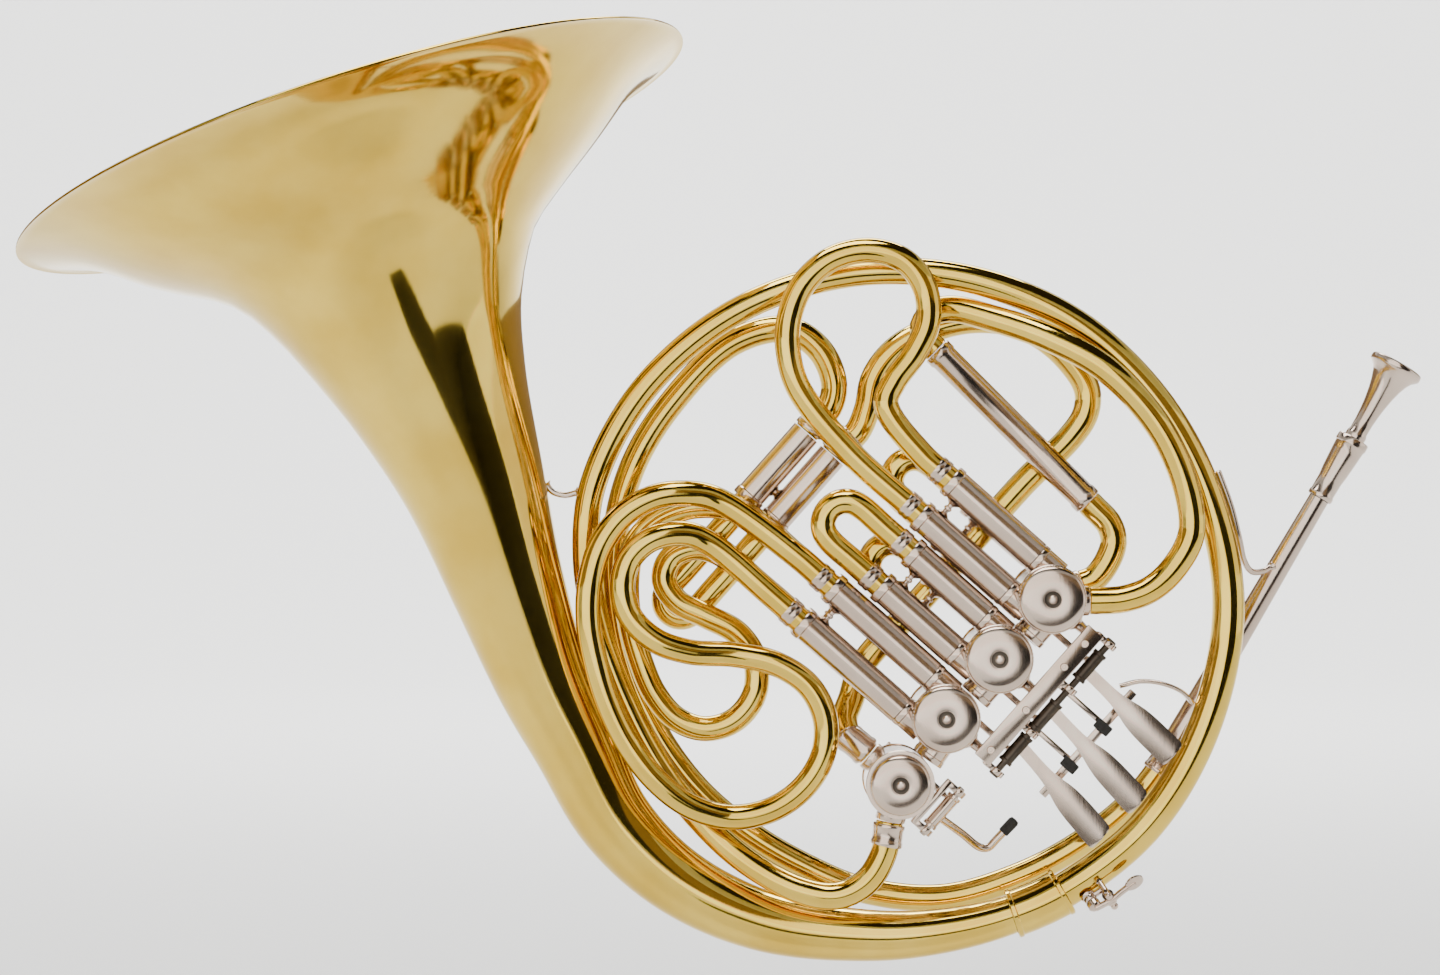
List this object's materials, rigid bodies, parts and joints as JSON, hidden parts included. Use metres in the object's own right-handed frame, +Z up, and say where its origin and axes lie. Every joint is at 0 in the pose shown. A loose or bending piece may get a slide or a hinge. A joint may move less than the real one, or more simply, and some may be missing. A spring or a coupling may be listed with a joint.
{
  "type": "french horn",
  "caption": "Double French horn with a flared bell, rotary valves, finger and thumb levers with string action, tuning slides and a mouthpiece.",
  "frame": {"origin": "Where the little finger bears under the finger hook, midway along the hook.", "axes": "+X runs from the bell side to the mouthpiece side in the plane of the body; +Y runs from the valve caps to the back, along the valve axes; +Z is up as the horn is held."},
  "size_m": [0.641, 0.3168, 0.4225],
  "materials": {
    "brass": "polished, clear lacquer",
    "nickel_silver": "polished nickel silver, slightly warm",
    "steel": "smooth machined",
    "rubber": "matt",
    "cord": "braided cord"
  },
  "bodies": {
    "corpus": {"bell": "brass", "first_branch": "brass", "bell_ferrule": "nickel_silver", "mouthpipe": "nickel_silver", "mouthpipe_receiver": "nickel_silver", "leadpipe_branch": "brass", "main_slide_sleeves": "nickel_silver", "change_valve_feed": "brass", "f_branch_ring": "brass", "f_branch_straight": "nickel_silver", "f_branch_crook": "brass", "valve_1_casing": "nickel_silver", "valve_1_cap": "nickel_silver", "valve_2_casing": "nickel_silver", "valve_2_cap": "nickel_silver", "valve_3_casing": "nickel_silver", "valve_3_cap": "nickel_silver", "valve_4_casing": "nickel_silver", "valve_4_cap": "nickel_silver", "f1_sleeves": "nickel_silver", "f2_sleeves": "nickel_silver", "f3_sleeves": "nickel_silver", "bb1_sleeves": "nickel_silver", "bb2_sleeves": "nickel_silver", "bb3_sleeves": "nickel_silver", "lever_rack": "nickel_silver", "lever_rod": "steel", "thumb_bracket": "nickel_silver", "thumb_rod": "steel", "stop_rail": "nickel_silver", "stop_bumper": "rubber", "finger_hook": "nickel_silver", "water_key_saddle": "nickel_silver", "bell_brace": "nickel_silver", "mouthpipe_brace": "nickel_silver"},
    "mouthpiece": {"mouthpiece": "nickel_silver"},
    "main_tuning_slide": {"main_tuning_slide": "brass"},
    "water_key_lever": {"water_key_lever": "nickel_silver"},
    "thumb_lever": {"thumb_lever": "nickel_silver", "thumb_string": "cord"},
    "f1_slide": {"f1_slide": "brass"},
    "f2_slide": {"f2_slide": "brass"},
    "f3_slide": {"f3_slide": "brass"},
    "bb1_slide": {"bb1_slide": "brass"},
    "bb2_slide": {"bb2_slide": "brass"},
    "bb3_slide": {"bb3_slide": "brass"},
    "finger_lever_1": {"finger_lever_1": "nickel_silver", "lever_1_string": "cord"},
    "finger_lever_2": {"finger_lever_2": "nickel_silver", "lever_2_string": "cord"},
    "finger_lever_3": {"finger_lever_3": "nickel_silver", "lever_3_string": "cord"},
    "valve_1_rotor": {"valve_1_rotor": "steel", "valve_1_stop_arm": "steel"},
    "valve_2_rotor": {"valve_2_rotor": "steel", "valve_2_stop_arm": "steel"},
    "valve_3_rotor": {"valve_3_rotor": "steel", "valve_3_stop_arm": "steel"},
    "valve_4_rotor": {"valve_4_rotor": "steel", "valve_4_stop_arm": "steel"}
  },
  "joints": [
    {"name": "mouthpiece_pull", "type": "slide", "parent": "corpus", "child": "mouthpiece", "axis": [0.507, 0, 0.862], "range_m": [0, 0.028]},
    {"name": "main_slide_pull", "type": "slide", "parent": "corpus", "child": "main_tuning_slide", "axis": [-0.6626, 0, -0.749], "range_m": [0, 0.01]},
    {"name": "f1_slide_pull", "type": "slide", "parent": "corpus", "child": "f1_slide", "axis": [-0.749, 0, 0.6626], "range_m": [0, 0.04]},
    {"name": "f2_slide_pull", "type": "slide", "parent": "corpus", "child": "f2_slide", "axis": [-0.749, 0, 0.6626], "range_m": [0, 0.03]},
    {"name": "f3_slide_pull", "type": "slide", "parent": "corpus", "child": "f3_slide", "axis": [-0.749, 0, 0.6626], "range_m": [0, 0.01]},
    {"name": "bb1_slide_pull", "type": "slide", "parent": "corpus", "child": "bb1_slide", "axis": [-0.749, 0, 0.6626], "range_m": [0, 0.025]},
    {"name": "bb2_slide_pull", "type": "slide", "parent": "corpus", "child": "bb2_slide", "axis": [-0.749, 0, 0.6626], "range_m": [0, 0.02]},
    {"name": "bb3_slide_pull", "type": "slide", "parent": "corpus", "child": "bb3_slide", "axis": [-0.749, 0, 0.6626], "range_m": [0, 0.005]},
    {"name": "finger_lever_1_press", "type": "hinge", "parent": "corpus", "child": "finger_lever_1", "pos_m": [-0.04541, -0.006, -0.00693], "axis": [0.6626, 0, 0.749], "range_deg": [0, 10.71], "stiffness_Nm_per_rad": 0.35, "springref_deg": -17.19},
    {"name": "finger_lever_2_press", "type": "hinge", "parent": "corpus", "child": "finger_lever_2", "pos_m": [-0.04541, -0.006, -0.00693], "axis": [0.6626, 0, 0.749], "range_deg": [0, 10.71], "stiffness_Nm_per_rad": 0.35, "springref_deg": -17.19},
    {"name": "finger_lever_3_press", "type": "hinge", "parent": "corpus", "child": "finger_lever_3", "pos_m": [-0.04541, -0.006, -0.00693], "axis": [0.6626, 0, 0.749], "range_deg": [0, 10.71], "stiffness_Nm_per_rad": 0.35, "springref_deg": -17.19},
    {"name": "thumb_lever_press", "type": "hinge", "parent": "corpus", "child": "thumb_lever", "pos_m": [-0.09732, -0.002, -0.0564], "axis": [-0.6626, 0, -0.749], "range_deg": [0, 11.84], "stiffness_Nm_per_rad": 0.35, "springref_deg": -17.19},
    {"name": "valve_1_turn", "type": "hinge", "parent": "corpus", "child": "valve_1_rotor", "pos_m": [-0.0474, 0, 0.0426], "axis": [0, 1, 0], "range_deg": [0, 90]},
    {"name": "valve_2_turn", "type": "hinge", "parent": "corpus", "child": "valve_2_rotor", "pos_m": [-0.0711, 0, 0.0158], "axis": [0, 1, 0], "range_deg": [0, 90]},
    {"name": "valve_3_turn", "type": "hinge", "parent": "corpus", "child": "valve_3_rotor", "pos_m": [-0.0948, 0, -0.011], "axis": [0, 1, 0], "range_deg": [-90, 0]},
    {"name": "valve_4_turn", "type": "hinge", "parent": "corpus", "child": "valve_4_rotor", "pos_m": [-0.1153, 0, -0.0405], "axis": [0, 1, 0], "range_deg": [0, 90]},
    {"name": "water_key_press", "type": "hinge", "parent": "corpus", "child": "water_key_lever", "pos_m": [-0.02017, -0.01029, -0.09262], "axis": [-0.3464, -0.766, 0.5415], "range_deg": [0, 20], "stiffness_Nm_per_rad": 0.05, "springref_deg": -17.19}
  ],
  "couplings": [
    {"joint": "valve_1_turn", "follows": "finger_lever_1_press", "ratio": 8.4},
    {"joint": "valve_2_turn", "follows": "finger_lever_2_press", "ratio": 8.4},
    {"joint": "valve_3_turn", "follows": "finger_lever_3_press", "ratio": -8.4},
    {"joint": "valve_4_turn", "follows": "thumb_lever_press", "ratio": 7.6}
  ]
}
